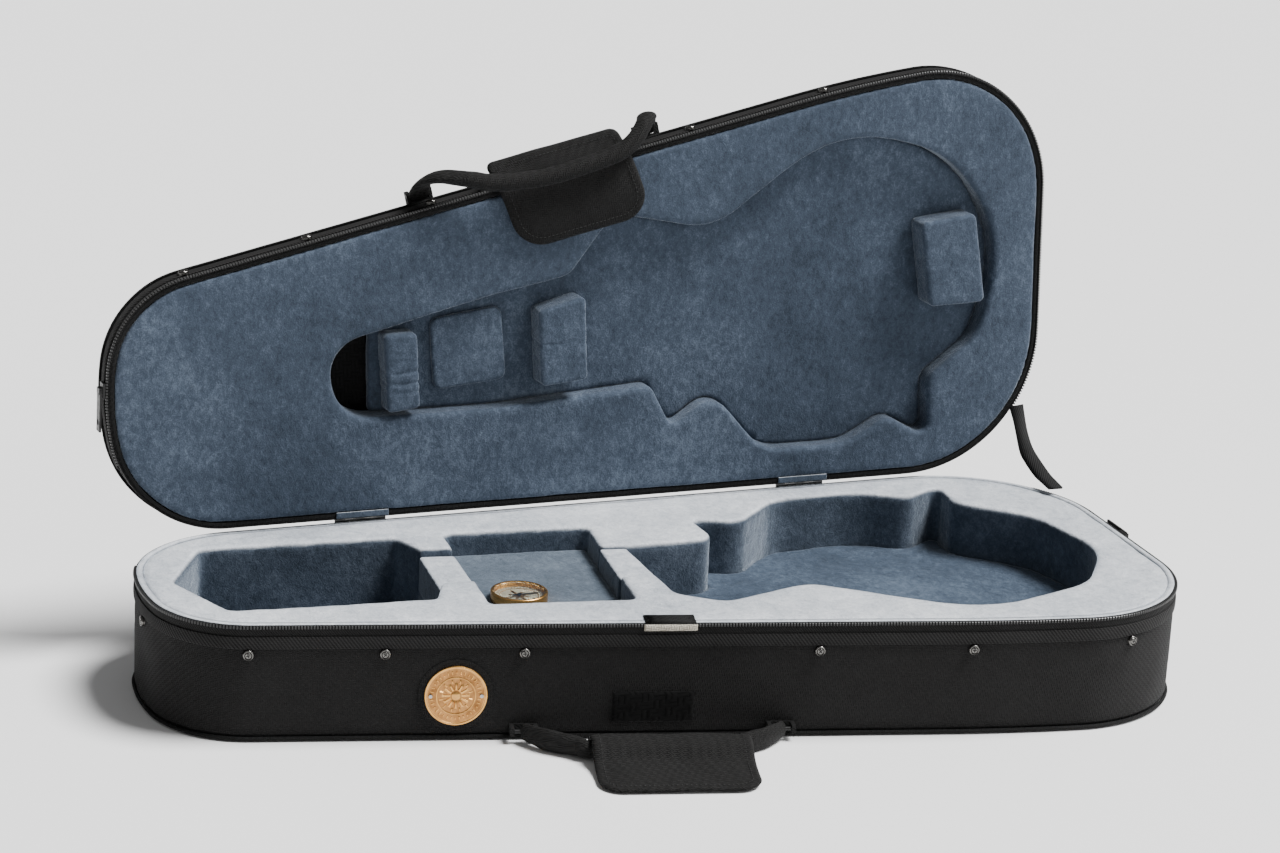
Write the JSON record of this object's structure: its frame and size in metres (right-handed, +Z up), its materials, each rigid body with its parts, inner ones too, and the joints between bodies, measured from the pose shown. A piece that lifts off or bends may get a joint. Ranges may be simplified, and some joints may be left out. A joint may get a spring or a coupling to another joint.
{
  "type": "shaped mandolin case",
  "caption": "Open shaped hard case for an F-style mandolin: zipped fabric-covered shell, plush-lined fitted wells, two flap handles and a strap stay.",
  "frame": {"origin": "centre of the base's bottom face, midway along its length and depth", "axes": "+X along the hinge edge towards the wide (body) end, +Y to the hinge side at the back, +Z up"},
  "size_m": [0.8047, 0.4265, 0.4342],
  "materials": {
    "woven_cover": "black plain-weave nylon",
    "black_trim": "black cloth piping",
    "twill_tape": "black twill tape",
    "zip_coil": "black nylon coil",
    "plush": "slate-blue crushed plush",
    "wood_shell": "plywood, covered both sides",
    "brass": "polished",
    "nickel": "bright nickel plate",
    "black_metal": "black enamel",
    "dial_face": "printed metal dial",
    "clear_glass": "flat window",
    "cream_tape": "undyed cotton tape",
    "webbing": "black nylon webbing",
    "padded_cloth": "padded black cloth, bound edge"
  },
  "bodies": {
    "base": {"base_shell": "wood_shell", "base_floor_panel": "woven_cover", "base_cover": "woven_cover", "base_piping": "black_trim", "base_zip_tape": "twill_tape", "base_zip_coil": "zip_coil", "base_binding": "twill_tape", "base_rim_band": "plush", "head_surround": "plush", "head_well_floor": "plush", "tray_surround": "plush", "tray_well_floor": "plush", "body_surround": "plush", "body_well_floor": "plush", "saddle_left": "plush", "saddle_right": "plush", "hygrometer_case": "brass", "hygrometer_dial": "dial_face", "hygrometer_glass": "clear_glass", "base_screws": "nickel", "medallion_backing": "woven_cover", "medallion": "brass", "medallion_rivets": "brass", "hook_patch": "woven_cover", "front_tab": "black_trim", "tab_strip": "cream_tape", "hinge_leaves_base": "nickel", "hinge_pins": "nickel", "base_handle_anchors": "woven_cover", "base_handle_pins": "nickel", "lid_stay": "webbing"},
    "lid": {"lid_shell": "wood_shell", "lid_cover": "woven_cover", "lid_panel": "woven_cover", "lid_piping": "black_trim", "lid_zip_tape": "twill_tape", "lid_zip_coil": "zip_coil", "lid_binding": "twill_tape", "lid_rim_band": "black_trim", "lid_lining": "plush", "lid_recess_floor": "plush", "neck_pad": "plush", "pocket_pad": "plush", "neck_block": "plush", "end_block": "plush", "lid_screws": "nickel", "hinge_leaves_lid": "nickel", "hinge_tabs": "plush", "lid_handle_anchors": "woven_cover", "lid_handle_pins": "nickel"},
    "lid_handle": {"lid_handle_grip": "webbing", "lid_handle_wrap": "padded_cloth"},
    "base_handle": {"base_handle_grip": "webbing", "base_handle_wrap": "padded_cloth"},
    "slider_r": {"slider_right": "black_metal"},
    "pull_r": {"pull_right": "black_metal"},
    "slider_l": {"slider_left": "black_metal"},
    "pull_l": {"pull_left": "black_metal"},
    "needle": {"hygrometer_needle": "black_metal"}
  },
  "joints": [
    {"name": "lid_hinge", "type": "hinge", "parent": "base", "child": "lid", "pos_m": [0, 0.1665, 0.0974], "axis": [1, 0, 0], "range_deg": [0, 93.2], "deforming": ["lid_stay"]},
    {"name": "lid_handle_swing", "type": "hinge", "parent": "lid", "child": "lid_handle", "pos_m": [-0.04775, 0.2033, 0.36873], "axis": [0.9744, 0.0126, 0.2246], "range_deg": [-94, 0]},
    {"name": "base_handle_swing", "type": "hinge", "parent": "base", "child": "base_handle", "pos_m": [-0.04775, -0.10647, 0.0095], "axis": [-0.9744, 0.225, 0], "range_deg": [0, 80]},
    {"name": "slider_r_travel", "type": "slide", "parent": "base", "child": "slider_r", "axis": [0.0191, 0.9998, 0], "range_m": [-0.045, 0.04]},
    {"name": "pull_r_swing", "type": "hinge", "parent": "slider_r", "child": "pull_r", "pos_m": [0.40037, -0.00103, 0.0866], "axis": [0, 0, -1], "range_deg": [0, 120]},
    {"name": "slider_l_travel", "type": "hinge", "parent": "lid", "child": "slider_l", "pos_m": [-0.20096, 0.17319, 0.2064], "axis": [0, 0.9984, -0.0558], "range_deg": [-9, 3]},
    {"name": "pull_l_swing", "type": "hinge", "parent": "slider_l", "child": "pull_l", "pos_m": [-0.4013, 0.17428, 0.21153], "axis": [0, 0.9984, -0.0558], "range_deg": [0, 120]},
    {"name": "needle_turn", "type": "hinge", "parent": "base", "child": "needle", "pos_m": [-0.1139, 0.0145, 0.078], "axis": [0, 0, 1], "range_deg": [-60, 200]}
  ],
  "couplings": [
    {"joint": "lid_handle_swing", "follows": "lid_hinge", "ratio": -1}
  ]
}
